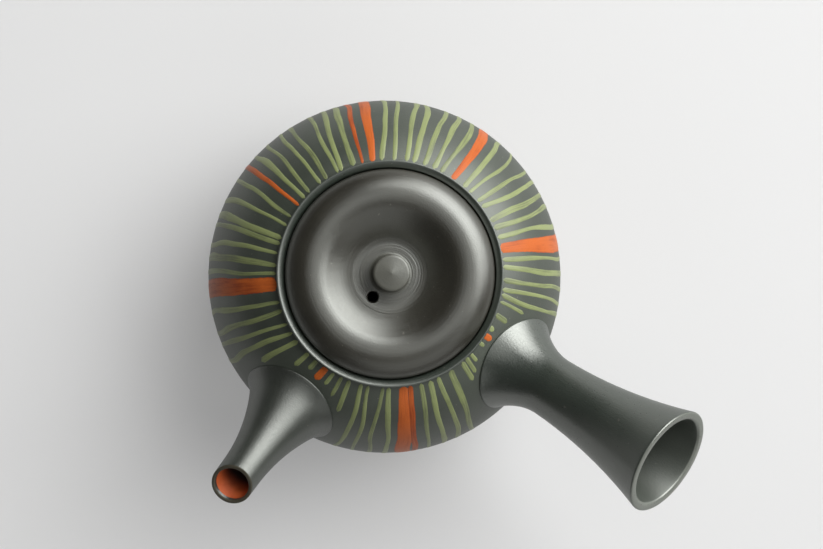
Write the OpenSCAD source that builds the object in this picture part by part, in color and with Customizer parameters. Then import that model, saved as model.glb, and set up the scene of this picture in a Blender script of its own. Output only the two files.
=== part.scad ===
// Side-handled teapot (yokode kyusu) of thrown stoneware.
// Six pieces are thrown or pressed apart and then joined: the body, the spout, the hollow handle and the
// clay strainer are luted together, the knob is luted to the lid, and the lid lies loose in the mouth.
// Millimetres. The table is z = 0, the body turns about Z and the spout points along +X.

/* [Body] */
// Widest diameter of the body
body_d = 100; // [94:1:108]
// Height from the widest ring up to the collar
shoulder_rise = 28.4; // [26:0.2:30]
// Outer diameter of the rim
rim_d = 61.2; // [56:0.2:66]
// Height of the upright collar between shoulder and rim
collar_h = 1.6; // [1:0.1:3]
// Diameter of the ring that the pot stands on
foot_d = 56; // [50:0.5:64]
// Height of that ring where it leaves the body's curve
foot_h = 1.4; // [0.8:0.1:2.4]
// Width of the foot ring
foot_ring_w = 5; // [3:0.5:9]
// Depth of the recess inside the foot ring
foot_recess = 1.2; // [0.6:0.1:2]
// Thickness of the thrown wall
wall = 3; // [2.4:0.1:3.6]
// Thickness of the bottom above the foot recess
floor_t = 3.2; // [2.5:0.1:5]

/* [Mouth and lid seat] */
// Width of the flat top of the rim
rim_land = 0.5; // [0.3:0.1:0.8]
// Width of the bevel that slopes from the rim down to the lid
bevel_w = 1.5; // [1:0.1:2]
// Height of that bevel
bevel_h = 0.9; // [0.5:0.1:2]
// Depth of the lid's ledge below the rim
ledge_depth = 3.6; // [3.2:0.1:5]
// Width of the ledge that carries the lid
ledge_w = 2.6; // [2:0.1:3.4]
// Depth of the round mouth below the ledge
mouth_depth = 3.4; // [2.4:0.1:4.5]

/* [Lid] */
// Gap between the lid's edge and the rim, all round
lid_gap = 0.4; // [0.3:0.05:0.8]
// Gap between the lid's flange and the mouth, all round
flange_gap = 0.5; // [0.3:0.05:0.8]
// Thickness of the flange
flange_t = 2.4; // [1.8:0.1:3]
// Depth of the flange below the ledge
flange_h = 6.5; // [5:0.5:9]
// Thickness of the lid
lid_t = 3; // [2.4:0.1:3.6]
// Height of the lid's round crest above the rim
crest_rise = 4; // [3:0.1:6]
// Distance of the crest from the lid's edge
crest_in = 6.9; // [5.5:0.1:7.5]
// Radius of the crest's rounding
crest_radius = 8.2; // [8:0.1:10]
// Diameter of the flat bottom of the lid's well
well_d = 14.5; // [13:0.5:18]
// Depth of the well below the crest
well_depth = 4.8; // [4:0.1:6]
// Diameter of the steam hole
vent_d = 2.8; // [2:0.1:3.4]
// Distance of the steam hole from the lid's centre
vent_out = 7.8; // [7:0.1:9.5]

/* [Knob] */
// Diameter of the knob at its top edge
knob_d = 10; // [8:0.1:11]
// Diameter of the knob where it meets the lid
knob_root_d = 9.4; // [7.5:0.1:10.5]
// Height of the knob's top edge above the well
knob_h = 6.4; // [4:0.1:9]
// Height of the knob's shallow cone above that edge
knob_cone_h = 0.7; // [0.3:0.1:1.5]
// Radius of the rounding round the knob's top
knob_round = 0.7; // [0.4:0.1:1.2]

/* [Spout] */
// Distance of the middle of the spout's lip from the pot's axis
spout_reach = 70.4; // [66:0.2:78]
// Height of the middle of the spout's lip above the rim
spout_lift = 2.5; // [-1:0.5:7]
// Diameter of the spout's bell where it is luted to the body
spout_root_d = 26.4; // [24:0.2:30]
// Diameter of the spout at its lip
spout_tip_d = 11.2; // [10.4:0.1:13.4]
// Length of the pipe between the bell and the lip
spout_pipe_len = 5; // [4.5:0.5:8]
// Angle at which the pipe narrows towards the lip
spout_taper_angle = 1; // [0.5:0.5:3]
// Thickness of the spout's wall
spout_wall = 1.5; // [1.2:0.1:1.7]
// Thickness of the thinned lip
spout_lip = 1; // [0.8:0.1:1.2]
// Length over which the lip is thinned from inside
spout_lip_len = 4.5; // [2:0.5:4.5]
// Angle by which the lip is cut flatter than square
spout_cut_angle = 25; // [10:1:30]
// Diameter of the hole through the body's wall behind the spout
spout_hole_d = 18; // [14:0.5:20]

/* [Handle] */
// Turn from the spout to the handle, seen from above
handle_turn_angle = 92.3; // [85:0.1:100]
// Distance of the middle of the handle's open end from the pot's axis
handle_reach = 87.2; // [82:0.2:94]
// Height of the middle of the handle's open end above the rim
handle_lift = 18; // [10:0.5:22]
// Diameter of the handle's bell where it is luted to the body
handle_root_d = 28; // [26:0.2:31]
// Diameter of the handle's waist
handle_waist_d = 16.9; // [15:0.1:20]
// Distance of the waist from the body, along the handle
handle_waist_at = 11.7; // [10:0.1:16]
// Angle at which the handle spreads from its waist
handle_spread_angle = 1; // [0.5:0.5:4]
// Diameter of the open end
handle_end_d = 30; // [26:0.2:32]
// Thickness of the handle's wall
handle_wall = 2.3; // [1.8:0.1:2.8]
// Rounding of the edges of the open end
handle_edge = 0.7; // [0.4:0.1:0.9]

/* [Strainer] */
// Diameter of the strainer where it meets the wall
strainer_d = 24; // [21:0.5:27]
// How far the strainer bulges into the pot
strainer_rise = 7.5; // [6:0.5:9]
// Thickness of the strainer
strainer_t = 1.8; // [1.4:0.1:2.4]
// Diameter of each hole
strainer_hole_d = 1.5; // [1:0.1:1.8]
// Angle between two rings of holes, seen from the dome's centre
strainer_pitch_angle = 11.5; // [10:0.5:13]
// Number of rings of holes round the middle one
strainer_rings = 4; // [2:1:4]

/* [Hidden] */
$fn = 96;

clay_black = "#3a3d3c";
clay_red = "#a8502c";

body_r = body_d / 2;
rim_r = rim_d / 2;
foot_r = foot_d / 2;

// The body's outline is one arc from the foot to the collar, and it stands upright at the belly
body_x = (body_r ^ 2 - rim_r ^ 2 - shoulder_rise ^ 2) / (2 * (body_r - rim_r));
body_rho = body_r - body_x;
belly_h = foot_h + sqrt(body_rho ^ 2 - (foot_r - body_x) ^ 2);
rim_h = belly_h + shoulder_rise + collar_h;
floor_h = foot_recess + floor_t;

// Mouth, from the rim down
seat_r = rim_r - rim_land - bevel_w;
ledge_h = rim_h - ledge_depth;
mouth_r = seat_r - ledge_w;
gallery_h = ledge_h - mouth_depth;

// Lid
lid_r = seat_r - lid_gap;
flange_r = mouth_r - flange_gap;
flange_in_r = flange_r - flange_t;
crest_r = lid_r - crest_in;
crest_h = rim_h + crest_rise;
well_r = well_d / 2;
well_h = crest_h - well_depth;
// The crest's arc and the well's arc meet where both slope at well_slope
arcs_rho = ((crest_r - well_r) ^ 2 + well_depth ^ 2) / (2 * well_depth);
well_rho = arcs_rho - crest_radius;
well_slope = asin((crest_r - well_r) / arcs_rho);

// The spout and the handle stand square to the shoulder's curve
function stem_rise(reach, lift) = atan2(rim_h + lift - belly_h, reach - body_x);
function stem_length(reach, lift) = norm([reach - body_x, rim_h + lift - belly_h]) - body_rho;
spout_rise = stem_rise(spout_reach, spout_lift);
spout_len = stem_length(spout_reach, spout_lift);
handle_rise = stem_rise(handle_reach, handle_lift);
handle_len = stem_length(handle_reach, handle_lift);
// How far a bell is carried below the body's surface before it is cut to it
stem_sink = 9;

strainer_rho = (strainer_rise ^ 2 + (strainer_d / 2) ^ 2) / (2 * strainer_rise);

// Room that a cutting shape has to spare
spare = 1;

// Directions in a section
up_angle = 90;
down_angle = -90;

// Points of an arc about [x, y], from one angle to another
function arc(centre, rho, from, to, steps = 14) =
    [for (i = [0:steps]) let (a = from + (to - from) * i / steps) centre + rho * [cos(a), sin(a)]];

// Half section of the round vessel, taken in by inset and cut off level at bottom and top
module vessel_section(inset, bottom, top) {
    intersection() {
        translate([body_x, belly_h]) circle(r = body_rho - inset);
        translate([0, bottom]) square([body_r + spare, top - bottom]);
    }
    translate([0, bottom]) square([body_x, top - bottom]);
}

// Everything inside the body's outer curve
module vessel() {
    rotate_extrude() vessel_section(0, foot_h / 2, rim_h - collar_h / 2);
}

// The room for the tea
module chamber() {
    rotate_extrude() vessel_section(wall, floor_h, gallery_h);
}

// The mouth as it is cut from the rim down: bevel, seat, ledge and the round opening under it
module mouth_section() {
    polygon([
        [0, gallery_h],
        [mouth_r, gallery_h],
        [mouth_r, ledge_h],
        [seat_r, ledge_h],
        [seat_r, rim_h - bevel_h],
        [rim_r - rim_land, rim_h],
        [0, rim_h]
    ]);
}

module body() {
    color(clay_black) difference() {
        rotate_extrude() difference() {
            union() {
                vessel_section(0, foot_h / 2, rim_h - collar_h / 2);
                translate([0, belly_h]) square([rim_r, rim_h - belly_h]);
                square([foot_r, belly_h]);
            }
            vessel_section(wall, floor_h, gallery_h);
            mouth_section();
            square([foot_r - foot_ring_w, foot_recess]);
        }
        on_stem(0, spout_rise)
            translate([0, 0, -wall - spout_hole_d / 4])
                cylinder(d = spout_hole_d, h = wall + spout_hole_d / 2);
    }
}

// Puts a stem's own Z axis square to the shoulder, with its origin on the body's surface
module on_stem(turn, rise) {
    rotate([0, 0, turn])
        translate([body_x, 0, belly_h])
            rotate([0, up_angle - rise, 0])
                translate([0, 0, body_rho]) children();
}

// Half section of the spout: a bell on the body that runs into a straight pipe, to be cut off at the lip.
// The bell is an arc that shares its tangent with the pipe.
module spout_section(inset) {
    root_r = spout_root_d / 2;
    tip_r = spout_tip_d / 2;
    past = spout_len + spout_tip_d;
    meet = [tip_r + spout_pipe_len * tan(spout_taper_angle), spout_len - spout_pipe_len];
    square_off = [cos(spout_taper_angle), sin(spout_taper_angle)];
    to_root = [root_r, 0] - meet;
    bell_rho = (to_root * to_root) / (2 * (to_root * square_off));
    joint = meet - inset * square_off;
    difference() {
        translate([0, -stem_sink]) square([root_r - inset, joint[1] + stem_sink]);
        translate(meet + bell_rho * square_off) circle(r = bell_rho + inset);
    }
    polygon([
        [0, joint[1]],
        joint,
        [joint[0] - (past - joint[1]) * tan(spout_taper_angle), past],
        [0, past]
    ]);
}

module spout() {
    tip_r = spout_tip_d / 2;
    bore_r = tip_r + spout_lip_len * tan(spout_taper_angle) - spout_wall / cos(spout_taper_angle);
    color(clay_black) difference() {
        on_stem(0, spout_rise) difference() {
            rotate_extrude() difference() {
                spout_section(0);
                spout_section(spout_wall);
                // The lip is thinned from inside
                polygon([
                    [0, spout_len - spout_lip_len],
                    [bore_r, spout_len - spout_lip_len],
                    [tip_r - spout_lip, spout_len],
                    [tip_r - spout_lip, spout_len + 2 * tip_r],
                    [0, spout_len + 2 * tip_r]
                ]);
            }
            translate([0, 0, spout_len])
                rotate([0, -spout_cut_angle, 0])
                    translate([-body_d, -body_d, 0]) cube([2 * body_d, 2 * body_d, body_d]);
        }
        vessel();
    }
}

// Half section of the handle: a bell on the body, a waist, and a stem that spreads to its end.
// Both hollow curves are arcs, which share a tangent just past the waist.
module handle_section(inset) {
    root_r = handle_root_d / 2;
    waist_r = handle_waist_d / 2;
    end_r = handle_end_d / 2;
    bell_rho = (handle_waist_at ^ 2 + (root_r - waist_r) ^ 2) / (2 * (root_r - waist_r));
    wide = waist_r + bell_rho;
    square_off = [cos(handle_spread_angle), -sin(handle_spread_angle)];
    meet = [wide, handle_waist_at] - bell_rho * square_off;
    to_end = [end_r, handle_len] - meet;
    stem_rho = (to_end * to_end) / (2 * (to_end * square_off));
    difference() {
        translate([0, -stem_sink])
            square([max(root_r, end_r + spare) - inset, handle_len + stem_sink + end_r]);
        translate([root_r - inset, -stem_sink]) square([wide, stem_sink]);
        intersection() {
            translate([wide, handle_waist_at]) circle(r = bell_rho + inset);
            translate([0, -stem_sink]) square([2 * wide, meet[1] + stem_sink]);
        }
        intersection() {
            translate(meet + stem_rho * square_off) circle(r = stem_rho + inset);
            translate([0, meet[1]]) square([2 * wide, handle_len + end_r]);
        }
    }
}

// One edge of the open end, to be rounded off: corner at the origin, clay towards [side, -1]
module edge_round(side) {
    difference() {
        translate([side > 0 ? -spare : -handle_edge, -handle_edge])
            square([handle_edge + spare, handle_edge + spare]);
        translate([side * handle_edge, -handle_edge]) circle(r = handle_edge);
        translate([side > 0 ? handle_edge : -handle_edge - spare, -handle_edge - spare])
            square([spare, 2 * spare]);
    }
}

module handle() {
    end_r = handle_end_d / 2;
    color(clay_black) difference() {
        on_stem(handle_turn_angle, handle_rise) rotate_extrude() difference() {
            handle_section(0);
            handle_section(handle_wall);
            translate([0, handle_len]) square([2 * end_r, 2 * end_r]);
            translate([end_r - handle_wall, handle_len]) edge_round(1);
            translate([end_r, handle_len]) edge_round(-1);
        }
        vessel();
    }
}

// Rings of holes that point at the dome's centre
module strainer_holes() {
    for (ring = [0:strainer_rings]) {
        count = max(1, 6 * ring);
        for (i = [0:count - 1])
            rotate([0, 0, 360 * i / count])
                rotate([0, 180 - ring * strainer_pitch_angle, 0])
                    translate([0, 0, strainer_rho - strainer_t - spare])
                        cylinder(d = strainer_hole_d, h = strainer_t + 2 * spare, $fn = 24);
    }
}

module strainer() {
    color(clay_red) intersection() {
        chamber();
        on_stem(0, spout_rise)
            translate([0, 0, strainer_rho - strainer_rise - wall]) difference() {
                sphere(r = strainer_rho);
                sphere(r = strainer_rho - strainer_t);
                strainer_holes();
            }
    }
}

module lid() {
    crest = [crest_r, crest_h - crest_radius];
    well = [well_r, well_h + well_rho];
    edge_angle = acos(crest_in / crest_radius);
    under_rho = crest_radius - lid_t;
    under_angle = acos((flange_in_r - crest_r) / under_rho);
    color(clay_black) difference() {
        rotate_extrude() polygon(concat(
            [[0, well_h]],
            arc(well, well_rho, down_angle, down_angle + well_slope),
            arc(crest, crest_radius, up_angle + well_slope, edge_angle, 24),
            [
                [lid_r, ledge_h],
                [flange_r, ledge_h],
                [flange_r, ledge_h - flange_h],
                [flange_in_r, ledge_h - flange_h]
            ],
            arc(crest, under_rho, under_angle, up_angle + well_slope),
            arc(well, well_rho + lid_t, down_angle + well_slope, down_angle),
            [[0, well_h - lid_t]]
        ));
        translate([vent_out, 0, well_h - lid_t - spare]) cylinder(d = vent_d, h = lid_t + crest_radius);
    }
}

module knob() {
    top_r = knob_d / 2;
    root_r = knob_root_d / 2;
    top_h = well_h + knob_h;
    color(clay_black) rotate_extrude() polygon(concat(
        [[0, well_h], [root_r, well_h], [top_r, top_h - knob_round]],
        arc([top_r - knob_round, top_h - knob_round], knob_round, 0, up_angle, 8),
        [[0, top_h + knob_cone_h]]
    ));
}

body();
spout();
handle();
strainer();
lid();
knob();
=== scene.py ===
"""Looks of a side-handled teapot: dark burnished stoneware with brushed slip stripes over its shoulder.

Sizes are millimetres in the part's own frame: the table is z = 0, the body turns about Z and the spout points
along +X. Each finished mesh is scaled to metres, and its object stays at the origin.
"""

import logging
import math
import random
from dataclasses import dataclass, field, replace
from enum import Enum

import bmesh
import bpy
from mathutils import Matrix, Vector, noise


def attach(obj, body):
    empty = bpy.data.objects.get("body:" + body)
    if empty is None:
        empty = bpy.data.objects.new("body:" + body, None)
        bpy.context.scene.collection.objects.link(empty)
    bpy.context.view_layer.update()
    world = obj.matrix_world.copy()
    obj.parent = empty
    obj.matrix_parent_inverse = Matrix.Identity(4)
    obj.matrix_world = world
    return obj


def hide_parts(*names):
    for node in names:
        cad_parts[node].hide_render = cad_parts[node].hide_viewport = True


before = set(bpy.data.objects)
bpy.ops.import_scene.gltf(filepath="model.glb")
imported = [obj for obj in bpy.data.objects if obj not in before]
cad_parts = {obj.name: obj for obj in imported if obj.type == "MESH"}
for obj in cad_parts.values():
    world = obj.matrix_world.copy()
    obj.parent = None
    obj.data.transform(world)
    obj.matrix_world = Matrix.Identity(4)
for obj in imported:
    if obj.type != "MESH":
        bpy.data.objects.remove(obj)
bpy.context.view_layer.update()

MM = 0.001
ROUND = 192
SMALL_ROUND = 128
CREASE = 50
HALVINGS = 30
WELD = 1e-4
TINY = 1e-6
Colour = tuple[float, float, float]
log = logging.getLogger("teapot")


# Shader boards


class Wire:
    """A number travelling over a board: arithmetic on it adds Math nodes."""

    def __init__(self, board: "Board", socket: bpy.types.NodeSocket) -> None:
        """Keep the socket and the board that it is on."""
        self.board = board
        self.socket = socket

    def also(self, name: str) -> "Wire":
        """Another output of the same node."""
        return Wire(self.board, self.socket.node.outputs[name])

    def __add__(self, other: "Wire | float") -> "Wire":
        """Add."""
        return self.board.math("ADD", self, other)

    def __sub__(self, other: "Wire | float") -> "Wire":
        """Subtract."""
        return self.board.math("SUBTRACT", self, other)

    def __rsub__(self, other: float) -> "Wire":
        """Subtract from a plain number."""
        return self.board.math("SUBTRACT", other, self)

    def __mul__(self, other: "Wire | float") -> "Wire":
        """Multiply."""
        return self.board.math("MULTIPLY", self, other)

    def __truediv__(self, other: "Wire | float") -> "Wire":
        """Divide."""
        return self.board.math("DIVIDE", self, other)

    def __rtruediv__(self, other: float) -> "Wire":
        """Divide a plain number."""
        return self.board.math("DIVIDE", other, self)

    __radd__ = __add__
    __rmul__ = __mul__

    def step(self, low: float, high: float) -> "Wire":
        """Rise smoothly from 0 at low to 1 at high.

        Args:
            low: Value where the step starts.
            high: Value where the step is done, which may be below low.

        Returns:
            The step, from 0 to 1.
        """
        flip = high < low
        ends = {1: min(low, high), 2: max(low, high), 3: float(flip), 4: float(not flip)}
        return self.board.add("ShaderNodeMapRange", {"interpolation_type": "SMOOTHSTEP"}, {0: self, **ends})


class Board:
    """One material's nodes, with coordinates in millimetres in the frame of the piece it dresses."""

    def __init__(self, name: str, place: Matrix | None = None) -> None:
        """Start an empty material.

        Args:
            name: The material's name.
            place: Frame that the pattern is drawn in, or None for the part's own.
        """
        self.material = bpy.data.materials.new(name)
        self.material.use_nodes = True
        self.tree = self.material.node_tree
        self.tree.nodes.clear()
        back = (place or Matrix.Identity(4)).inverted()
        coordinate = self.add("ShaderNodeTexCoord", out="Object")
        self.point = self.add("ShaderNodeMapping", {}, {
            "Vector": coordinate,
            "Location": back.to_translation(),
            "Rotation": back.to_euler(),
            "Scale": (1 / MM, 1 / MM, 1 / MM),
        })
        self.x = self.add("ShaderNodeSeparateXYZ", {}, {0: self.point}, "X")
        self.y, self.z = self.x.also("Y"), self.x.also("Z")
        self.r = self.math("SQRT", self.x * self.x + self.y * self.y + TINY)

    def add(self, kind: str, settings: dict | None = None, inputs: dict | None = None, out: int | str = 0) -> Wire:
        """Add any node.

        Args:
            kind: The node's type.
            settings: Its own settings, which are set first.
            inputs: Values or wires for its sockets, by place, identifier or name.
            out: Which output to return.

        Returns:
            That output as a wire.
        """
        node = self.tree.nodes.new(kind)
        for name, value in (settings or {}).items():
            setattr(node, name, value)
        for key, value in (inputs or {}).items():
            socket = self.socket(node.inputs, key)
            if isinstance(value, Wire):
                self.tree.links.new(value.socket, socket)
            else:
                socket.default_value = value
        return Wire(self, self.socket(node.outputs, out))

    @staticmethod
    def socket(sockets: bpy.types.bpy_prop_collection, key: int | str) -> bpy.types.NodeSocket:
        """Find a socket.

        Args:
            sockets: A node's inputs or outputs.
            key: The socket's place, identifier or name.

        Returns:
            The socket.
        """
        if isinstance(key, int):
            return sockets[key]
        return next((s for s in sockets if s.identifier == key), None) or sockets[key]

    def math(self, operation: str, first: Wire | float, second: Wire | float = 0.0) -> Wire:
        """Add one Math node on two numbers."""
        return self.add("ShaderNodeMath", {"operation": operation}, {0: first, 1: second})

    def vector(self, x: Wire | float, y: Wire | float, z: Wire | float) -> Wire:
        """Join three numbers to a vector."""
        return self.add("ShaderNodeCombineXYZ", {}, {0: x, 1: y, 2: z})

    def noise(self, at: Wire, scale: float = 1.0, detail: float = 2.0, rough: float = 0.5) -> Wire:
        """Soft noise round 0.5, with scale in waves to a millimetre, octaves, and the share that each one keeps."""
        inputs = {"Vector": at, "Scale": scale, "Detail": detail, "Roughness": rough}
        return self.add("ShaderNodeTexNoise", {"noise_dimensions": "3D"}, inputs, "Fac")

    def rings(self, along: Wire, pitch: float, sway: float = 0.6, detail: float = 3.0) -> Wire:
        """Turning marks round the piece's axis, along its outline, which sway a little on their way round."""
        around = self.vector(along / pitch, self.x / self.r * sway, self.y / self.r * sway)
        return self.noise(around, detail=detail, rough=0.6)

    def blend(self, share: Wire | float, low: Wire | Colour, high: Wire | Colour, mode: str = "MIX") -> Wire:
        """Mix two colours.

        Args:
            share: How much of the second.
            low: The first colour.
            high: The second colour.
            mode: How they mix.

        Returns:
            The mixed colour.
        """
        colours = [c if isinstance(c, Wire) else (*c, 1.0) for c in (low, high)]
        settings = {"data_type": "RGBA", "blend_type": mode, "clamp_factor": True}
        inputs = {"Factor_Float": share, "A_Color": colours[0], "B_Color": colours[1]}
        return self.add("ShaderNodeMix", settings, inputs, "Result_Color")

    def bump(self, height: Wire, depth: float) -> Wire:
        """Turn a height into a normal, where a height of 1 is depth millimetres."""
        return self.add("ShaderNodeBump", {}, {"Strength": 1.0, "Distance": depth * MM, "Height": height})

    def surface(self, colour: Wire, rough: Wire, normal: Wire, sheen: dict | None = None) -> bpy.types.Material:
        """Close the board with a shader.

        Args:
            colour: Base colour.
            rough: Roughness.
            normal: Normal.
            sheen: Further constant sockets of the shader.

        Returns:
            The finished material.
        """
        inputs = {"Base Color": colour, "Roughness": rough, "Normal": normal, **(sheen or {})}
        shader = self.add("ShaderNodeBsdfPrincipled", {}, inputs)
        output = self.tree.nodes.new("ShaderNodeOutputMaterial")
        self.tree.links.new(shader.socket, output.inputs["Surface"])
        return self.material


def srgb(red: int, green: int, blue: int) -> Colour:
    """Linear colour of a screen colour from 0 to 255."""
    share = [c / 255 for c in (red, green, blue)]
    return tuple(c / 12.92 if c <= 0.04045 else ((c + 0.055) / 1.055) ** 2.4 for c in share)


# Form shared by the pieces


@dataclass(frozen=True)
class Form:
    """The body's outer curve: one arc from the foot to the collar, turned about Z."""

    body_d: float = 100.0
    shoulder_rise: float = 28.4
    rim_d: float = 61.2
    collar_h: float = 1.6
    foot_d: float = 56.0
    foot_h: float = 1.4
    ledge_depth: float = 3.6
    slip_room: float = 0.1

    @property
    def ring_r(self) -> float:
        """Radius of the ring that the arc's centre runs round."""
        body_r, rim_r = self.body_d / 2, self.rim_d / 2
        return (body_r**2 - rim_r**2 - self.shoulder_rise**2) / (2 * (body_r - rim_r))

    @property
    def rho(self) -> float:
        """Radius of the arc."""
        return self.body_d / 2 - self.ring_r

    @property
    def belly(self) -> float:
        """Height of the widest ring."""
        return self.foot_h + math.sqrt(self.rho**2 - (self.foot_d / 2 - self.ring_r) ** 2)

    @property
    def rim(self) -> float:
        """Height of the rim."""
        return self.belly + self.shoulder_rise + self.collar_h

    @property
    def ledge(self) -> float:
        """Height of the ledge that the lid rests on."""
        return self.rim - self.ledge_depth

    def outside(self, point: Vector) -> float:
        """How far a point is outside the curve."""
        return math.hypot(math.hypot(point.x, point.y) - self.ring_r, point.z - self.belly) - self.rho

    def skin(self, angle: float, climb: float, proud: float = 0.0) -> Vector:
        """A point on the curve.

        Args:
            angle: Turn about Z from the spout, in degrees.
            climb: Angle above the belly on the arc, in degrees.
            proud: Distance that it stands above the curve.

        Returns:
            The point.
        """
        turn, lift = math.radians(angle), math.radians(climb)
        r = self.ring_r + (self.rho + proud) * math.cos(lift)
        return Vector((r * math.cos(turn), r * math.sin(turn), self.belly + (self.rho + proud) * math.sin(lift)))


@dataclass(frozen=True)
class Stem:
    """Axis of a horn that stands square to the body's shoulder."""

    form: Form
    turn: float
    reach: float
    lift: float
    root_r: float

    @property
    def end(self) -> tuple[float, float]:
        """How far out and up the middle of the open end is from the centre of the body's arc."""
        return self.reach - self.form.ring_r, self.form.rim + self.lift - self.form.belly

    @property
    def rise(self) -> float:
        """Angle of the axis above the table, in degrees."""
        out, up = self.end
        return math.degrees(math.atan2(up, out))

    @property
    def length(self) -> float:
        """Distance from the body's surface to the middle of the open end."""
        return math.hypot(*self.end) - self.form.rho

    @property
    def place(self) -> Matrix:
        """The horn's own frame: Z along the axis, origin on the body's surface."""
        turned = Matrix.Rotation(math.radians(self.turn), 4, "Z")
        ring = Matrix.Translation((self.form.ring_r, 0, self.form.belly))
        tipped = Matrix.Rotation(math.radians(90 - self.rise), 4, "Y")
        return turned @ ring @ tipped @ Matrix.Translation((0, 0, self.form.rho))

    def clear(self, point: Vector) -> float:
        """Distance of a point from the horn's root."""
        own = self.place.inverted() @ point
        return math.hypot(own.x, own.y) - self.root_r

    def drop(self, x: float, y: float, proud: float) -> float:
        """Height in the horn's own frame at which a line along its axis is a set distance from the body's curve.

        Args:
            x: Place of the line.
            y: Place of the line.
            proud: The distance, below 0 inside the clay.

        Returns:
            The height.
        """
        low, high = -self.root_r, self.root_r
        for _ in range(HALVINGS):
            middle = (low + high) / 2
            if self.form.outside(self.place @ Vector((x, y, middle))) > proud:
                high = middle
            else:
                low = middle
        return (low + high) / 2


# Shaping


class Pen:
    """Draws a half section in the XZ plane, one stroke after another, and spins it about Z."""

    def __init__(self, r: float, z: float) -> None:
        """Put the pen down.

        Args:
            r: Distance from the axis.
            z: Height.
        """
        self.mesh = bmesh.new()
        self.tip = self.mesh.verts.new((r, 0, z))
        self.soft: list[tuple[bmesh.types.BMVert, float]] = []

    def line(self, r: float, z: float, soft: float = 0.0, cuts: int = 0) -> "Pen":
        """Draw straight to a point.

        Args:
            r: Distance from the axis.
            z: Height.
            soft: How far the corner there is to be rounded off.
            cuts: Points to set on the way.

        Returns:
            The pen.
        """
        start, end = self.tip.co.copy(), Vector((r, 0, z))
        for i in range(1, cuts + 2):
            self.tip = bmesh.ops.extrude_vert_indiv(self.mesh, verts=[self.tip])["verts"][0]
            self.tip.co = start.lerp(end, i / (cuts + 1))
        if soft:
            self.soft.append((self.tip, soft))
        return self

    def arc(self, r: float, z: float, sweep: float, steps: int, soft: float = 0.0) -> "Pen":
        """Draw an arc.

        Args:
            r: Distance of its centre from the axis.
            z: Height of its centre.
            sweep: Angle in degrees, from +r towards +z.
            steps: Number of edges.
            soft: How far the corner at its end is to be rounded off.

        Returns:
            The pen.
        """
        made = bmesh.ops.spin(
            self.mesh, geom=[self.tip], cent=(r, 0, z), axis=(0, -1, 0), angle=math.radians(sweep), steps=steps
        )
        self.tip = next(v for v in made["geom_last"] if isinstance(v, bmesh.types.BMVert))
        if soft:
            self.soft.append((self.tip, soft))
        return self

    def round_off(self, segments: int = 4) -> "Pen":
        """Round the corners that were marked soft.

        Args:
            segments: Edges in each rounding.

        Returns:
            The pen.
        """
        for vertex, size in self.soft:
            bmesh.ops.bevel(
                self.mesh, geom=[vertex], offset=size, offset_type="OFFSET", affect="VERTICES", segments=segments,
                profile=0.5, material=-1,
            )
        self.soft.clear()
        return self

    def spin(self, steps: int = ROUND) -> bmesh.types.BMesh:
        """Turn everything drawn once about Z.

        Args:
            steps: Faces in the round.

        Returns:
            The turned mesh.
        """
        geometry = self.mesh.verts[:] + self.mesh.edges[:]
        bmesh.ops.spin(
            self.mesh, geom=geometry, cent=(0, 0, 0), axis=(0, 0, 1), angle=math.tau, steps=steps, use_merge=True
        )
        bmesh.ops.remove_doubles(self.mesh, verts=self.mesh.verts, dist=WELD)
        bmesh.ops.recalc_face_normals(self.mesh, faces=self.mesh.faces)
        return self.mesh


class Piece:
    """A finished mesh on its way into the scene."""

    def __init__(self, name: str, mesh: bmesh.types.BMesh, place: Matrix | None = None) -> None:
        """Make an object of a mesh in millimetres.

        Args:
            name: The piece's name.
            mesh: The mesh, which is used up.
            place: Frame that it was drawn in, or None for the part's own.
        """
        turned = Matrix.Scale(MM, 4) @ (place or Matrix.Identity(4))
        bmesh.ops.transform(mesh, matrix=turned, verts=mesh.verts)
        data = bpy.data.meshes.new(name)
        mesh.to_mesh(data)
        mesh.free()
        self.object = bpy.data.objects.new(name, data)
        bpy.context.scene.collection.objects.link(self.object)

    def carve(self, cutter: "Piece") -> "Piece":
        """Take another piece's shape away and drop that piece.

        Args:
            cutter: The other piece.

        Returns:
            The piece that is left.
        """
        boolean = self.object.modifiers.new("carve", "BOOLEAN")
        boolean.operation, boolean.solver, boolean.object = "DIFFERENCE", "EXACT", cutter.object
        shaped = self.object.evaluated_get(bpy.context.evaluated_depsgraph_get())
        data = bpy.data.meshes.new_from_object(shaped)
        self.object.modifiers.clear()
        self.object.data = data
        data.name = self.object.name
        bpy.data.objects.remove(cutter.object)
        return self

    def finish(self, body: str, slot: str, materials: list[bpy.types.Material], *nodes: str) -> None:
        """Dress the piece and hang it on its body.

        Args:
            body: CAD body that it moves with.
            slot: Not used.
            materials: Its materials, in the order of its faces' indices.
            nodes: CAD nodes that it stands for.
        """
        data = self.object.data
        for material in materials:
            data.materials.append(material)
        data.shade_smooth()
        data.set_sharp_from_angle(angle=math.radians(CREASE))
        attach(self.object, body)
        if nodes:
            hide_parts(*nodes)
        log.info("%s: %d faces on %s", self.object.name, len(data.polygons), body)


# Finishes


FLECK = srgb(150, 146, 136)
SHINE = (0.97, 1.0, 0.94, 1.0)
GRIT = srgb(204, 122, 80)
# Colour of the painted shade deep inside the spout's bore.
BORE_SHADE = srgb(46, 22, 16)


class Along(Enum):
    """What turning marks follow: the body's arc, the radius, or the piece's own axis."""

    ARC = "arc"
    RADIUS = "radius"
    AXIS = "axis"


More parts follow.
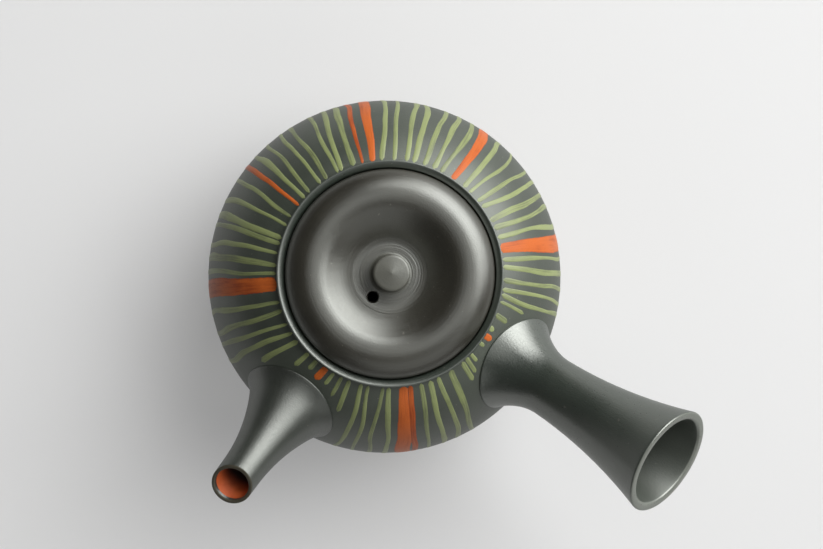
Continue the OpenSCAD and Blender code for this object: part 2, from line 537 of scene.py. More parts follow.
@dataclass(frozen=True)
class DarkClay:
    """Burnished dark stoneware: cloudy grey, fine turning marks, a satin gloss."""

    name: str
    base: Colour = srgb(38, 46, 39)
    cloud: Colour = srgb(46, 53, 46)
    rough: float = 0.33
    ior: float = 1.72
    sheen: float = 1.0
    pitch: float = 0.55
    depth: float = 0.03
    turning: float = 0.5
    burnish: float = 0.3
    tooth: float = 1.0
    place: Matrix | None = None

    def make(self, along: Along, form: Form, core: float = 0.0) -> bpy.types.Material:
        """Build the material.

        Args:
            along: What the turning marks follow.
            form: The body's curve.
            core: Radius inside which the turning marks are stronger.

        Returns:
            The material.
        """
        board = Board(self.name, self.place)
        line = {
            Along.ARC: lambda: board.math("ARCTAN2", board.z - form.belly, board.r - form.ring_r) * form.rho,
            Along.RADIUS: lambda: board.r + board.z * 0.35,
            Along.AXIS: lambda: board.z + board.r * 0.25,
        }[along]()
        marks = (board.rings(line, self.pitch) - 0.5) * self.turning
        broad = board.rings(line, self.pitch * 8, sway=1.5, detail=2) - 0.5
        around = board.vector(board.x / board.r * 16.0, board.y / board.r * 16.0, line / 5.0)
        strokes = (board.noise(around, rough=0.55) - 0.5) * self.burnish
        cloud = board.noise(board.point, scale=0.045, detail=3, rough=0.55)
        grain = (board.noise(board.point, scale=2.4) - 0.5) * self.tooth
        fleck = board.noise(board.point, scale=1.1, detail=1, rough=0.4).step(0.765, 0.80)
        tint = board.blend(cloud.step(0.34, 0.68), self.base, self.cloud)
        shade = marks * 0.35 + strokes * 0.5 + grain * 0.35 + broad * 0.12 + 1.0
        height = marks * 1.3 + strokes * 1.2 + grain * 0.8 + broad * 0.5 + 0.5
        rough = (cloud - 0.5) * 0.10 + marks * 0.16 + strokes * 0.14 + grain * 0.16 + self.rough
        if core:
            near = board.r.step(core, core * 0.55)
            grooves = (board.rings(line, pitch=0.8, sway=0.25, detail=2) - 0.5) * near
            shade = shade + grooves * 2.4
            height = height + grooves * 8.0
            rough = rough + grooves * 0.3 + near * 0.14
        tint = board.blend(1.0, tint, board.vector(shade, shade, shade), "MULTIPLY")
        tint = board.blend(fleck * 0.25, tint, FLECK)
        gloss = {"IOR": self.ior, "Specular IOR Level": self.sheen, "Specular Tint": SHINE}
        return board.surface(tint, rough, board.bump(height, self.depth), gloss)


@dataclass(frozen=True)
class BareClay:
    """Unburnished orange-red stoneware of the inside."""

    name: str
    base: Colour = srgb(176, 84, 48)
    deep: Colour = srgb(140, 60, 34)
    place: Matrix | None = None

    def make(self, shade_span: tuple[float, float] | None = None) -> bpy.types.Material:
        """Build the material.

        Args:
            shade_span: Heights between which painted shade darkens the bore deeper inside, from clean to dark, or
                None.

        Returns:
            The material.
        """
        board = Board(self.name, self.place)
        marks = board.rings(board.z, pitch=0.9, sway=0.8)
        cloud = board.noise(board.point, scale=0.11, detail=4, rough=0.6)
        grain = board.noise(board.point, scale=2.2, detail=4, rough=0.65)
        tint = board.blend(cloud.step(0.3, 0.7), self.base, self.deep)
        tint = board.blend(grain.step(0.56, 0.78) * 0.35, tint, GRIT)
        # Painted shade: the colour darkens deeper in the bore, where the recess is shaded.
        if shade_span:
            tint = board.blend(board.z.step(*shade_span), tint, BORE_SHADE)
        rough = (grain - 0.5) * 0.2 + (marks - 0.5) * 0.1 + 0.62
        height = marks * 0.6 + grain * 0.5
        return board.surface(tint, rough, board.bump(height, 0.03))


@dataclass(frozen=True)
class Slip:
    """Brushed slip: opaque in the middle of a stroke, thinner at its edges and in streaks along it."""

    name: str
    full: Colour
    thin: Colour
    rough: float = 0.40
    gloss: float = 0.5

    def make(self) -> bpy.types.Material:
        """Build the material, which reads each stroke's own map and how much slip the brush carried.

        Returns:
            The material.
        """
        board = Board(self.name)
        lane = board.add("ShaderNodeUVMap", {"uv_map": "stroke"})
        across = board.add("ShaderNodeSeparateXYZ", {}, {0: lane}, "X")
        along = across.also("Y")
        load = board.add("ShaderNodeAttribute", {"attribute_name": "load"}, {}, "Fac")
        streak = board.noise(board.vector(across * 3.0, along * 0.10, load * 40.0), detail=4, rough=0.65)
        pool = board.noise(board.point, scale=0.16)
        grain = board.noise(board.point, scale=3.0, rough=0.6)
        edge = board.math("ABSOLUTE", across).step(0.72, 1.0)
        worn = (streak - 0.5) * 1.7 + (pool - 0.5) * 0.9 + edge * 0.35 + (0.95 - load) * 1.4 + 0.16
        tint = board.blend(worn.step(0.0, 0.9), self.full, self.thin)
        shade = (grain - 0.5) * 0.22 + 1.0
        tint = board.blend(1.0, tint, board.vector(shade, shade, shade), "MULTIPLY")
        rough = (streak - 0.5) * 0.16 + (grain - 0.5) * 0.12 + self.rough
        gloss = {"IOR": 1.55, "Specular IOR Level": self.gloss}
        return board.surface(tint, rough, board.bump(streak * 0.7 + grain * 0.4, 0.02), gloss)


@dataclass(frozen=True)
class Paper:
    """Pale matt paper that the pot stands on."""

    base: Colour = (0.53, 0.53, 0.527)
    glow: float = 0.23
    spill: float = 0.7

    def make(self) -> bpy.types.Material:
        """Build the material.

        Returns:
            The material.
        """
        board = Board("pale_paper")
        fibre = board.noise(board.point, scale=0.5, detail=4, rough=0.6)
        cloud = board.noise(board.point, scale=0.006)
        camera = board.add("ShaderNodeLightPath", out="Is Camera Ray")
        shown = board.math("MAXIMUM", camera.also("Is Glossy Ray"), camera.also("Is Transmission Ray"))
        seen = board.math("MAXIMUM", camera, shown)
        tint = board.blend(cloud, self.base, tuple(c * 0.97 for c in self.base))
        tint = board.blend(camera, tuple(c * self.spill for c in self.base), tint)
        rough = (fibre - 0.5) * 0.1 + 0.85
        glow = board.blend(seen, (0.0, 0.0, 0.0), (self.glow,) * 3)
        return board.surface(tint, rough, board.bump(fibre, 0.02), {"Emission Color": glow, "Emission Strength": 1.0})


# Pieces


@dataclass
class Pot:
    """The thrown body: rim, lid seat, wall and foot ring in one outline."""

    form: Form
    wall: float = 3.0
    floor_t: float = 3.2
    foot_ring_w: float = 5.0
    foot_recess: float = 1.2
    rim_land: float = 0.5
    bevel_w: float = 1.5
    bevel_h: float = 0.9
    ledge_w: float = 2.6
    mouth_depth: float = 3.4
    hole_d: float = 18.0
    collar_rub: float = 1.2

    @property
    def gallery(self) -> float:
        """Height of the mouth's lower edge."""
        return self.form.ledge - self.mouth_depth

    def outline(self) -> bmesh.types.BMesh:
        """Turn the body's section.

        Returns:
            The turned mesh.
        """
        form, gallery = self.form, self.gallery
        rho = form.rho - form.slip_room
        foot_r, rim_r = form.foot_d / 2, form.rim_d / 2
        seat_r = rim_r - self.rim_land - self.bevel_w
        mouth_r = seat_r - self.ledge_w
        low = math.asin((form.foot_h - form.belly) / rho)
        high = math.acos((rim_r - form.ring_r) / rho)
        inner = form.rho - self.wall
        top = math.asin((gallery - form.belly) / inner)
        bottom = math.asin((self.foot_recess + self.floor_t - form.belly) / inner)
        pen = Pen(0, self.foot_recess)
        pen.line(foot_r - self.foot_ring_w, self.foot_recess, soft=0.5, cuts=6)
        pen.line(foot_r - self.foot_ring_w, 0, soft=0.4)
        pen.line(foot_r, 0, soft=0.5)
        pen.line(form.ring_r + rho * math.cos(low), form.belly + rho * math.sin(low), soft=0.4)
        pen.arc(form.ring_r, form.belly, math.degrees(high - low), steps=72, soft=0.18)
        pen.line(rim_r, form.rim, soft=0.22)
        pen.line(rim_r - self.rim_land, form.rim, soft=0.2)
        pen.line(seat_r, form.rim - self.bevel_h, soft=0.25)
        pen.line(seat_r, form.ledge, soft=0.3)
        pen.line(mouth_r, form.ledge, soft=0.4)
        pen.line(mouth_r, gallery, soft=0.6)
        pen.line(form.ring_r + inner * math.cos(top), gallery, soft=1.2, cuts=3)
        pen.arc(form.ring_r, form.belly, math.degrees(bottom - top), steps=48, soft=1.5)
        pen.line(0, self.foot_recess + self.floor_t, cuts=8)
        return pen.round_off().spin()

    def build(self, spout: Stem) -> Piece:
        """Make the body, with the hole behind the spout.

        Args:
            spout: Axis of the spout.

        Returns:
            The piece, with its inside on the second material and its rubbed rim on the third.
        """
        mesh = self.outline()
        lowest, highest = self.foot_recess + self.floor_t / 3, self.gallery + 0.1
        for face in mesh.faces:
            middle = face.calc_center_median()
            if middle.z > self.form.rim - self.collar_rub:
                face.material_index = 2
            elif self.form.outside(middle) < -self.wall * 0.9 and lowest < middle.z < highest:
                face.material_index = 1
        drill = bmesh.new()
        bmesh.ops.create_cone(
            drill, cap_ends=True, segments=64, radius1=self.hole_d / 2, radius2=self.hole_d / 2, depth=4 * self.wall
        )
        for face in drill.faces:
            face.material_index = 1
        return Piece("pot_wall", mesh).carve(Piece("drill", drill, spout.place))


@dataclass
class Horn:
    """A thrown horn on the body, whose bell is cut to the shoulder's curve."""

    stem: Stem
    end_d: float
    wall: float
    soft: float
    groove: float = 0.22
    settle: float = 11.0
    slim: float = 0.0
    flare: float = 0.0
    flare_len: float = 5.0
    aside: tuple[float, float] = (0.0, 0.0)
    tuck: float = 2.4
    sunk: float = 1.1
    lip_band: float = 1.0

    @property
    def root_r(self) -> float:
        """Radius that the bell is drawn with at its foot, before it flares."""
        return self.stem.root_r - self.slim

    def seat(self, mesh: bmesh.types.BMesh) -> None:
        """Ease the bell down on the body and sink its foot in the clay, with a fine groove round the seam.

        Args:
            mesh: The turned horn, open at its foot.
        """
        stem, root_r, aside = self.stem, self.root_r + self.flare, Vector(self.aside)
        for vertex in mesh.verts:
            share = max(0.0, 1 - vertex.co.z / self.settle) ** 2
            if share:
                edge = vertex.co.xy.normalized() * root_r + aside
                spread = self.flare / self.root_r * max(0.0, 1 - vertex.co.z / self.flare_len) ** 3
                vertex.co.xy = vertex.co.xy * (1 + spread) + aside * share
                vertex.co.z += stem.drop(edge.x, edge.y, self.groove) * share
        rims = [e for e in mesh.edges if e.is_boundary]
        grown = bmesh.ops.extrude_edge_only(mesh, edges=rims)["geom"]
        for vertex in (v for v in grown if isinstance(v, bmesh.types.BMVert)):
            if (vertex.co.xy - aside).length > root_r - self.wall / 2:
                vertex.co.xy -= (vertex.co.xy - aside) * self.tuck * self.groove / root_r
            vertex.co.z = stem.drop(vertex.co.x, vertex.co.y, -self.sunk)
        for face in bmesh.ops.bridge_loops(mesh, edges=[e for e in mesh.edges if e.is_boundary])["faces"]:
            face.material_index = 0
        bmesh.ops.recalc_face_normals(mesh, faces=mesh.faces)
        lips = [e for e in rims if (e.verts[0].co.xy - aside).length > root_r - self.wall / 2]
        bmesh.ops.bevel(
            mesh, geom=lips, offset=self.groove, offset_type="OFFSET", affect="EDGES", segments=3, profile=0.5,
            material=-1,
        )


@dataclass
class Spout(Horn):
    """The spout: a long bell that runs into a pipe, with a thin lip cut flatter than square."""

    pipe_len: float = 5.0
    taper: float = 1.0
    lip: float = 1.0
    lip_len: float = 4.5
    cut: float = 25.0
    cut_len: float = 9.0
    bare_from: float = 0.55

    def section(self) -> Pen:
        """Draw the wall: out along the bell and the pipe, over the lip and back along the bore.

        Returns:
            The pen.
        """
        length, root_r, tip_r = self.stem.length, self.root_r, self.end_d / 2
        lean = math.radians(self.taper)
        square = Vector((math.cos(lean), math.sin(lean)))
        meet = Vector((tip_r + self.pipe_len * math.tan(lean), length - self.pipe_len))
        to_root = Vector((root_r, 0)) - meet
        bell = to_root.length_squared / (2 * to_root.dot(square))
        centre = meet + bell * square
        joint = meet - self.wall * square
        bore_r = tip_r + self.lip_len * math.tan(lean) - self.wall / math.cos(lean)
        pen = Pen(root_r, 0)
        pen.arc(centre.x, centre.y, self.taper - math.degrees(math.asin(centre.y / bell)), steps=40)
        pen.line(tip_r, length, soft=self.soft, cuts=8)
        pen.line(tip_r - self.lip, length, soft=self.soft)
        pen.line(bore_r, length - self.lip_len, cuts=6)
        pen.line(joint.x, joint.y)
        pen.arc(centre.x, centre.y, math.degrees(math.asin(centre.y / (bell + self.wall))) - self.taper, steps=24)
        return pen.round_off()

    def build(self) -> Piece:
        """Make the spout.

        Returns:
            The spout, with its bore on the second material and its worn lip on the third.
        """
        mesh = self.section().spin(SMALL_ROUND)
        for face in mesh.faces:
            middle = face.calc_center_median()
            inwards = face.normal.dot((middle * Vector((1, 1, 0))).normalized()) < -0.2
            if inwards and middle.z < self.stem.length - self.bare_from:
                face.material_index = 1
            elif face.normal.z > 0.4 and middle.z > self.stem.length - self.lip_band:
                face.material_index = 2
        slant, start = math.tan(math.radians(self.cut)), self.stem.length - self.cut_len
        for vertex in mesh.verts:
            share = max(0.0, min(1.0, (vertex.co.z - start) / self.cut_len))
            vertex.co.z += vertex.co.x * slant * share**1.5
        self.seat(mesh)
        return Piece("spout_shell", mesh, self.stem.place)


@dataclass
class Handle(Horn):
    """The hollow handle: a short bell, a waist and a stem that opens like a trumpet."""

    waist_d: float = 16.9
    waist_at: float = 11.7
    spread: float = 1.0

    def section(self) -> Pen:
        """Draw the wall: out along the bell and the stem, over the open end and back inside.

        Returns:
            The pen.
        """
        length, root_r, waist_r = self.stem.length, self.root_r, self.waist_d / 2
        lean = math.radians(self.spread)
        square = Vector((math.cos(lean), -math.sin(lean)))
        bell = (self.waist_at**2 + (root_r - waist_r) ** 2) / (2 * (root_r - waist_r))
        wide = waist_r + bell
        meet = Vector((wide, self.waist_at)) - bell * square
        to_end = Vector((self.end_d / 2, length)) - meet
        bow = to_end.length_squared / (2 * to_end.dot(square))
        centre = meet + bow * square
        feet = [math.degrees(math.asin(self.waist_at / (bell + inset))) for inset in (0, self.wall)]
        ends = [math.degrees(math.asin((length - centre.y) / (bow + inset))) for inset in (0, self.wall)]
        pen = Pen(root_r, 0)
        pen.arc(wide, self.waist_at, -feet[0] - self.spread, steps=30)
        pen.arc(centre.x, centre.y, self.spread - ends[0], steps=30, soft=self.soft)
        pen.line(centre.x - (bow + self.wall) * math.cos(math.radians(ends[1])), length, soft=self.soft)
        pen.arc(centre.x, centre.y, ends[1] - self.spread, steps=24)
        pen.arc(wide, self.waist_at, feet[1] + self.spread, steps=24)
        return pen.round_off(6)

    def build(self) -> Piece:
        """Make the handle.

        Returns:
            The handle, with its worn lip on the second material and its inside on the third.
        """
        mesh = self.section().spin(SMALL_ROUND)
        for face in mesh.faces:
            middle = face.calc_center_median()
            if face.normal.z > 0.55 and middle.z > self.stem.length - self.lip_band:
                face.material_index = 1
            elif face.normal.dot(middle * Vector((1, 1, 0))) < 0:
                face.material_index = 2
        self.seat(mesh)
        return Piece("handle_shell", mesh, self.stem.place)


@dataclass
class Lid:
    """The thrown lid: a round crest, a sunken well with a steam hole, and a flange that drops in the mouth."""

    form: Form
    lid_r: float = 28.2
    flange_r: float = 25.5
    flange_in_r: float = 23.1
    flange_h: float = 6.5
    lid_t: float = 3.0
    crest_rise: float = 4.0
    crest_in: float = 6.9
    crest_rho: float = 8.2
    slope_rho: float = 9.2
    bowl_rho: float = 6.0
    bowl_depth: float = 5.5
    bowl_r: float = 7.7
    well_r: float = 7.25
    well_depth: float = 4.8
    vent_d: float = 2.8
    vent_out: float = 7.8
    vent_soft: float = 0.3
    vent_flare: float = 0.35
    flange_edge: float = 0.9

    @property
    def crest(self) -> Vector:
        """Centre of the crest's rounding, as radius and height."""
        return Vector((self.lid_r - self.crest_in, self.form.rim + self.crest_rise - self.crest_rho))

    @property
    def well(self) -> float:
        """Height of the well's floor."""
        return self.form.rim + self.crest_rise - self.well_depth

    def build(self) -> Piece:
        """Make the lid.

        Returns:
            The lid, with its underside on the second material.
        """
        crest, well = self.crest, self.well
        wide, arcs = crest.x - self.bowl_r, self.slope_rho + self.bowl_rho
        cone = math.sqrt(wide**2 + self.bowl_depth**2 - 2 * arcs * self.bowl_depth)
        slope = math.atan2(wide, arcs - self.bowl_depth) - math.atan2(cone, arcs)
        turn = math.degrees(slope)
        top = well + self.well_depth
        floor, round_z = top - self.bowl_depth, top - self.slope_rho
        edge = math.degrees(math.acos(self.crest_in / self.crest_rho))
        under = self.crest_rho - self.lid_t
        inside = math.degrees(math.acos((self.flange_in_r - crest.x) / under))
        arch = ((crest.x - self.well_r) ** 2 + self.well_depth**2) / (2 * self.well_depth)
        back = math.degrees(math.asin((crest.x - self.well_r) / arch))
        ledge = self.form.ledge
        pen = Pen(0, floor)
        pen.line(self.bowl_r, floor, cuts=9)
        pen.arc(self.bowl_r, floor + self.bowl_rho, turn, steps=14)
        pen.line(crest.x - self.slope_rho * math.sin(slope), round_z + self.slope_rho * math.cos(slope), cuts=4)
        pen.arc(crest.x, round_z, -turn, steps=18)
        pen.arc(crest.x, crest.y, edge - 90, steps=20, soft=0.5)
        pen.line(self.lid_r, ledge, soft=0.4)
        pen.line(self.flange_r, ledge, soft=0.4)
        pen.line(self.flange_r, ledge - self.flange_h, soft=0.7)
        pen.line(self.flange_in_r, ledge - self.flange_h, soft=0.7)
        pen.line(self.flange_in_r, crest.y + under * math.sin(math.radians(inside)), soft=0.8)
        pen.arc(crest.x, crest.y, 90 + back - inside, steps=14)
        pen.arc(self.well_r, well + arch - self.crest_rho, -back, steps=14)
        pen.line(0, well - self.lid_t, cuts=4)
        mesh = pen.round_off().spin()
        for face in mesh.faces:
            middle = face.calc_center_median()
            within = math.hypot(middle.x, middle.y) < self.flange_r - self.flange_edge
            face.material_index = int(within and (face.normal.z < -0.1 or middle.z < ledge - 0.5))
        vent_r, below, above = self.vent_d / 2, well - self.lid_t - 1, floor + 2
        drill = Pen(0, below)
        drill.line(vent_r, below).line(vent_r, floor - self.vent_soft, self.vent_soft)
        drill.line(vent_r + self.vent_flare, floor + 0.1).line(vent_r + 0.6, above).line(0, above)
        hole = drill.round_off().spin(48)
        bmesh.ops.translate(hole, verts=hole.verts, vec=(self.vent_out, 0, 0))
        return Piece("lid_shell", mesh).carve(Piece("vent", hole))


@dataclass
class Knob:
    """The turned button in the lid's well."""

    seat: float
    knob_d: float = 10.0
    root_d: float = 9.4
    height: float = 6.4
    cone_h: float = 0.7
    sunk: float = 0.7
    fillet: float = 1.2
    root_h: float = 0.6
    lap: float = 0.03
    rounding: float = 0.3
    tip_r: float = 0.5

    def build(self) -> Piece:
        """Make the knob.

        Returns:
            The knob, with the fillet of clay that holds it in the well.
        """
        root_r, top_r, top = self.root_d / 2, self.knob_d / 2, self.seat + self.height
        foot_r, floor = root_r + self.fillet, self.seat - self.sunk
        pen = Pen(0, floor - self.root_h)
        pen.line(foot_r, floor - self.root_h)
        pen.line(foot_r, floor + self.lap)
        pen.arc(foot_r, floor + self.lap + self.fillet, -90, steps=10)
        pen.line(top_r, top - self.rounding, soft=self.rounding, cuts=6)
        pen.line(top_r - 1.5 * self.rounding, top + 0.02, soft=0.25)
        pen.line(self.tip_r, top + self.cone_h * 0.9, soft=0.4, cuts=10)
        pen.line(0, top + self.cone_h)
        return Piece("knob_button", pen.round_off().spin(SMALL_ROUND))


class Hue(Enum):
    """The two slips."""

    GREEN = "slip_green"
    RED = "slip_red"


@dataclass(frozen=True)
class Stroke:
    """One brush stroke down the shoulder."""

    at: float
    width: float
    hue: Hue
    until: float = -44.0
    load: float = 1.0
    collar: float = 0.52


@dataclass
class Brushwork:
    """The stripes: groups of green strokes between red ones, from under the collar to below the belly."""

    form: Form
    stems: list[Stem]
    start: float = 68.8
    proud: float = 0.08
    slip_t: float = 0.12
    full_len: float = 58.0
    shortest: float = 2.5
    shortest_rest: float = 15.0
    probes: int = 240
    rows: int = 72
    lanes: int = 6
    greens: tuple[float, ...] = (
        6, 11.5, 16, 21.5, 26.5, 31.5, 36.5, 52, 57, 61.5, 67, 74, 78, 82, 87, 98, 104, 110, 114, 118.5, 123, 128.5,
        133, 145, 150, 155, 160.5, 165, 171, 176, 188, 193, 198, 203.5, 208, 214, 219, 235, 239.5, 243.5, 250,
        254.5, 259.5, 264.5, 275, 281.5, 287, 291, 296.5, 301.5, 306, 320, 325.5, 331, 336, 342, 350, 355.5,
    )
    reds: tuple[Stroke, ...] = (
        Stroke(1.5, 3.6, Hue.RED), Stroke(43, 4.6, Hue.RED), Stroke(46.2, 1.8, Hue.RED, -40, 0.7, 0.8),
        Stroke(93, 3.4, Hue.RED), Stroke(138.7, 5.2, Hue.RED), Stroke(182.3, 3.2, Hue.RED),
        Stroke(225.2, 3.2, Hue.RED), Stroke(230.7, 1.5, Hue.RED, -44, 0.72), Stroke(269.6, 1.7, Hue.RED),
        Stroke(311.6, 5.4, Hue.RED, -44, 0.86, 0.72),
    )
    chance: random.Random = field(default_factory=lambda: random.Random(7))

    def strokes(self) -> list[Stroke]:
        """Choose every stroke's width and load.

        Returns:
            The green strokes, then the red ones.
        """
        made = [
            Stroke(at, self.chance.uniform(1.35, 2.05), Hue.GREEN, -44.0, self.chance.uniform(0.75, 1.05))
            for at in self.greens
        ]
        return made + list(self.reds)

    def runs(self, stroke: Stroke, lean: float, seed: float) -> list[tuple[float, float]]:
        """Where a stroke can be laid without touching the spout's or the handle's root.

        Args:
            stroke: The stroke.
            lean: How far its start lies to the side, in degrees.
            seed: Place in the noise.

        Returns:
            Pairs of angles on the arc between which it is laid.
        """
        end = stroke.until + self.chance.uniform(-4, 4)
        start = self.start - (self.chance.uniform(0, 0.5) if stroke.hue is Hue.GREEN else 0.0)
        room = self.chance.uniform(1.1, 1.9) if stroke.hue is Hue.GREEN else 0.7
        free = []
        for i in range(self.probes + 1):
            climb = start + (end - start) * i / self.probes
            point = self.form.skin(self.path(stroke, climb, lean, seed), climb)
            if min(stem.clear(point) for stem in self.stems) > room:
                if free and free[-1][1] == i - 1:
                    free[-1][1] = i
                else:
                    free.append([i, i])
        span = (end - start) / self.probes
        laid = [(start + a * span, start + b * span) for a, b in free]
        first = [(a, b) for a, b in laid[:1] if a - b > self.shortest]
        return first + [(a, b) for a, b in laid[1:] if a - b > self.shortest_rest and a < 0]

    def path(self, stroke: Stroke, climb: float, lean: float, seed: float) -> float:
        """Angle round the pot at which a stroke is, at one height.

        Args:
            stroke: The stroke.
            climb: Angle on the arc.
            lean: How far its start lies to the side.
            seed: Place in the noise.

        Returns:
            The angle in degrees.
        """
        drop = max(0.0, (climb - 30) / (self.start - 30))
        sway = noise.noise(Vector((climb / 34, seed, 0))) * 1.7 + noise.noise(Vector((climb / 13, seed, 5))) * 0.3
        return stroke.at + lean * (drop**1.6 - 0.2) + sway

    def width(self, stroke: Stroke, climb: float, seed: float) -> float:
        """Width of a stroke at one height.

        Args:
            stroke: The stroke.
            climb: Angle on the arc.
            seed: Place in the noise.

        Returns:
            The width in millimetres.
        """
        down = min(1.0, (self.start - climb) / 40)
        if stroke.hue is Hue.RED:
            return stroke.width * (stroke.collar + (1 - stroke.collar) * down)
        press = 0.8 * math.cos(math.radians(stroke.at - 140)) + noise.noise(Vector((seed, 7.7, 2.0)))
        swell = noise.noise(Vector((climb / 22, seed, 9))) * 0.4 + noise.noise(Vector((climb / 5, seed, 3))) * 0.06
        return stroke.width * (0.80 + 0.14 * down + 0.3 * press * (0.45 - down)) * (1 + swell)

    def lay(self, mesh: bmesh.types.BMesh, stroke: Stroke) -> None:
        """Lay one stroke on the body.

        Args:
            mesh: Mesh of all the strokes of its slip.
            stroke: The stroke.
        """
        seed = self.chance.uniform(0, 400)
        lean = self.chance.uniform(0.6, 3.2) if stroke.hue is Hue.GREEN else self.chance.uniform(0.6, 1.8)
        arc = math.radians(1) * self.form.rho
        lane, load = mesh.loops.layers.uv["stroke"], mesh.verts.layers.float["load"]
        for high, low in self.runs(stroke, lean, seed):
            length = (high - low) * arc
            rows = max(10, int(self.rows * length / self.full_len))
            made = bmesh.ops.create_grid(mesh, x_segments=rows, y_segments=self.lanes, size=1.0)
            for loop in {loop for vertex in made["verts"] for loop in vertex.link_loops}:
                loop[lane].uv = (loop.vert.co.y, (loop.vert.co.x + 1) / 2 * length)
            for vertex in made["verts"]:
                vertex[load] = stroke.load
                along, side = (vertex.co.x + 1) / 2, vertex.co.y
                climb = high + (low - high) * along
                wide = self.width(stroke, climb, seed)
                near = min(along / 0.15, (1 - along) / 0.55) * length / wide
                cap = math.sqrt(max(0.02, 1 - max(0.0, 1 - near) ** 2))
                radius = self.form.ring_r + self.form.rho * math.cos(math.radians(climb))
                rag = 1 + 0.06 * noise.noise(Vector((climb * 1.3, seed, math.copysign(4, side))))
                turn = math.degrees(side * wide * cap * rag / 2 / radius)
                lift = (1 - abs(side) ** 4 * 1.2) * min(1.0, near * 2 + 0.2)
                proud = self.proud * lift * min(1.0, stroke.load) - self.form.slip_room
                vertex.co = self.form.skin(self.path(stroke, climb, lean, seed) + turn, climb, proud)

    def build(self) -> dict[Hue, Piece]:
        """Lay every stroke.

        Returns:
            One piece for each slip.
        """
        meshes = {hue: bmesh.new() for hue in Hue}
        for mesh in meshes.values():
            mesh.loops.layers.uv.new("stroke")
            mesh.verts.layers.float.new("load")
        for stroke in self.strokes():
            self.lay(meshes[stroke.hue], stroke)
        pieces = {}
        for hue, mesh in meshes.items():
            for face in mesh.faces:
                middle = face.calc_center_median()
                face.normal_update()
                if face.normal.dot(middle - Vector((0, 0, self.form.belly))) < 0:
                    face.normal_flip()
            bmesh.ops.solidify(mesh, geom=mesh.faces[:], thickness=self.slip_t)
            pieces[hue] = Piece(hue.value, mesh)
        return pieces


# Studio


@dataclass(frozen=True)
class Lamp:
    """One soft lamp that faces the pot."""

    name: str
    azimuth: float
    elevation: float
    distance: float
    size: tuple[float, float]
    energy: float

    def place(self, target: Vector) -> None:
        """Hang the lamp.

        Args:
            target: Point that it faces, in metres.
        """
        data = bpy.data.lights.new(self.name, "AREA")
        data.shape = "RECTANGLE"
        data.size, data.size_y = self.size
        data.energy = self.energy
        lamp = bpy.data.objects.new(self.name, data)
        turn, lift = math.radians(self.azimuth), math.radians(self.elevation)
        back = Vector((math.cos(lift) * math.cos(turn), math.cos(lift) * math.sin(turn), math.sin(lift)))
        lamp.location = target + back * self.distance
        lamp.rotation_euler = (-back).to_track_quat("-Z", "Y").to_euler()
        bpy.context.scene.collection.objects.link(lamp)


@dataclass
class Studio:
    """Floor, lamps, surroundings and the camera."""

    form: Form
    focal_px: float = 1950.0
    frame_px: tuple[int, int] = (823, 549)
    belly_px: tuple[float, float] = (385.0, 276.5)
    px_per_mm: float = 3.52
    axis: tuple[float, float, float] = (0.062827, 0.027897, 0.997634)
    spout_turn: float = -127.0
    ambient: float = 0.065
    floor_half: float = 3000.0
    lamps: tuple[Lamp, ...] = (
        Lamp("window", 165, 38, 1.30, (1.80, 1.38), 25.0),
        Lamp("window_core", 168, 41, 1.25, (0.90, 0.80), 6.3),
        Lamp("overhead", 140, 84, 1.00, (0.60, 0.60), 0.95),
        Lamp("side", 60, 36, 1.20, (1.40, 0.90), 2.0),
    )

    def floor(self) -> None:
        """Lay the floor."""
        mesh = bmesh.new()
        bmesh.ops.create_grid(mesh, x_segments=2, y_segments=2, size=self.floor_half)
        floor = Piece("floor", mesh).object
        floor.data.materials.append(Paper().make())

    def light(self) -> None:
        """Hang the lamps and set the surroundings."""
        for lamp in self.lamps:
            lamp.place(Vector((0, 0, self.form.belly * MM)))
        world = bpy.data.worlds.new("studio")
        world.use_nodes = True
        sky = world.node_tree.nodes["Background"]
        sky.inputs["Color"].default_value = (1.0, 1.0, 1.0, 1.0)
        sky.inputs["Strength"].default_value = self.ambient
        bpy.context.scene.world = world
        bpy.context.scene.view_settings.view_transform = "Standard"

    def camera(self) -> None:
        """Set up the camera almost on the pot's axis, above the lid."""
        width, height = self.frame_px
        away = self.focal_px / self.px_per_mm
        belly = Vector((
            (self.belly_px[0] - width / 2) / self.px_per_mm, -(self.belly_px[1] - height / 2) / self.px_per_mm, -away
        ))
        up = Vector(self.axis).normalized()
        right = (Vector((1, 0, 0)) - up * up.x).normalized()
        side = up.cross(right)
        turn = math.radians(self.spout_turn)
        spout = right * math.cos(turn) + side * math.sin(turn)
        seen = Matrix((spout, up.cross(spout), up))
        data = bpy.data.cameras.new("camera")
        data.sensor_width = 36.0
        data.lens = self.focal_px * data.sensor_width / width
        data.clip_start, data.clip_end = 0.01, 20.0
        camera = bpy.data.objects.new("camera", data)
        place = (seen @ -belly + Vector((0, 0, self.form.belly))) * MM
        camera.matrix_world = Matrix.Translation(place) @ seen.to_4x4()
        bpy.context.scene.collection.objects.link(camera)
        bpy.context.scene.camera = camera


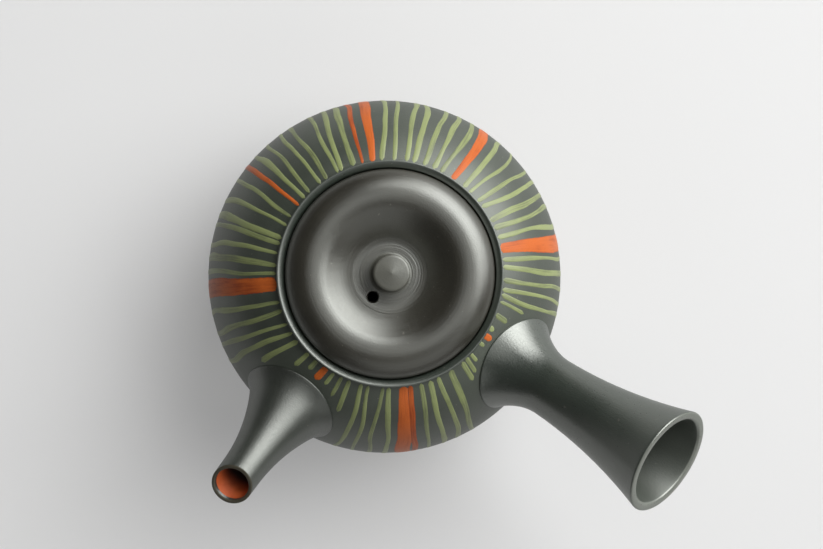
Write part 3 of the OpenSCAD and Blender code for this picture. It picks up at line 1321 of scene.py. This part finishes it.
def main() -> None:
    """Build the pot piece by piece, then the studio."""
    logging.basicConfig(level=logging.INFO, format="%(name)s %(message)s")
    form = Form()
    spout_stem = Stem(form, turn=0.0, reach=70.4, lift=2.5, root_r=13.2)
    handle_stem = Stem(form, turn=92.3, reach=87.2, lift=18.0, root_r=14.0)
    inside = BareClay("red_clay").make()

    pot_clay = DarkClay("pot_clay", srgb(52, 58, 49), srgb(62, 68, 59), rough=0.46, ior=1.6, sheen=0.85)
    pot_clays = [pot_clay.make(Along.ARC, form), inside, DarkClay("rim_clay").make(Along.RADIUS, form)]
    Pot(form).build(spout_stem).finish("pot", "clay_dark", pot_clays, "body")

    spout = Spout(
        spout_stem, end_d=11.2, wall=1.5, soft=0.36, settle=24.0, slim=0.5, flare=1.0, aside=(1.0, -0.4)
    )
    spout_clay = DarkClay(
        "spout_clay", srgb(26, 30, 24), srgb(33, 37, 31), rough=0.40, ior=1.66, turning=0.3, tooth=1.5,
        place=spout_stem.place,
    )
    bore = BareClay("bore_clay", srgb(216, 108, 54), srgb(190, 84, 42), spout_stem.place)
    edge = DarkClay(
        "edge_clay", srgb(74, 70, 58), srgb(88, 83, 70), rough=0.45, ior=1.5, sheen=0.6, place=spout_stem.place
    )
    # Painted shade that darkens the spout's bore deeper inside.
    shade_span = (spout_stem.length - 1.0, spout_stem.length - 6.0)
    spout_clays = [spout_clay.make(Along.AXIS, form), bore.make(shade_span), edge.make(Along.AXIS, form)]
    spout.build().finish("pot", "clay_spout", spout_clays, "spout")

    grip = DarkClay("handle_clay", ior=1.8, turning=0.25, tooth=1.6, place=handle_stem.place)
    worn = replace(grip, name="lip_clay", base=srgb(86, 90, 82), cloud=srgb(100, 103, 95))
    rough = replace(grip, name="hollow_clay", base=srgb(58, 63, 57), cloud=srgb(68, 72, 66), rough=0.45, ior=1.55)
    handle_clays = [clay.make(Along.AXIS, form) for clay in (grip, worn, rough)]
    handle = Handle(handle_stem, end_d=30.0, wall=2.3, soft=0.7)
    handle.build().finish("pot", "clay_handle", handle_clays, "handle")

    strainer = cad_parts["strainer"]
    strainer.data.materials.clear()
    strainer.data.materials.append(inside)
    log.info("strainer: kept from the frame")

    lid = Lid(form)
    lid_clay = DarkClay("lid_clay", srgb(29, 25, 15), srgb(36, 32, 21), rough=0.36, burnish=0.25, turning=0.6)
    lid.build().finish("lid", "clay_lid", [lid_clay.make(Along.RADIUS, form, core=13.0), inside], "lid")
    knob_clay = DarkClay("knob_clay", srgb(70, 70, 63), srgb(84, 83, 75), rough=0.40, ior=1.6, sheen=0.9)
    Knob(lid.well).build().finish("lid", "clay_knob", [knob_clay.make(Along.RADIUS, form)], "knob")

    slips = {
        Hue.GREEN: Slip("green_slip", srgb(140, 150, 98), srgb(90, 97, 68)).make(),
        Hue.RED: Slip("red_slip", srgb(197, 100, 44), srgb(150, 66, 34), gloss=0.2).make(),
    }
    for hue, piece in Brushwork(form, [spout_stem, handle_stem]).build().items():
        piece.finish("pot", "clay_dark", [slips[hue]])

    studio = Studio(form)
    studio.floor()
    studio.light()
    studio.camera()


if __name__ == "__main__":
    main()
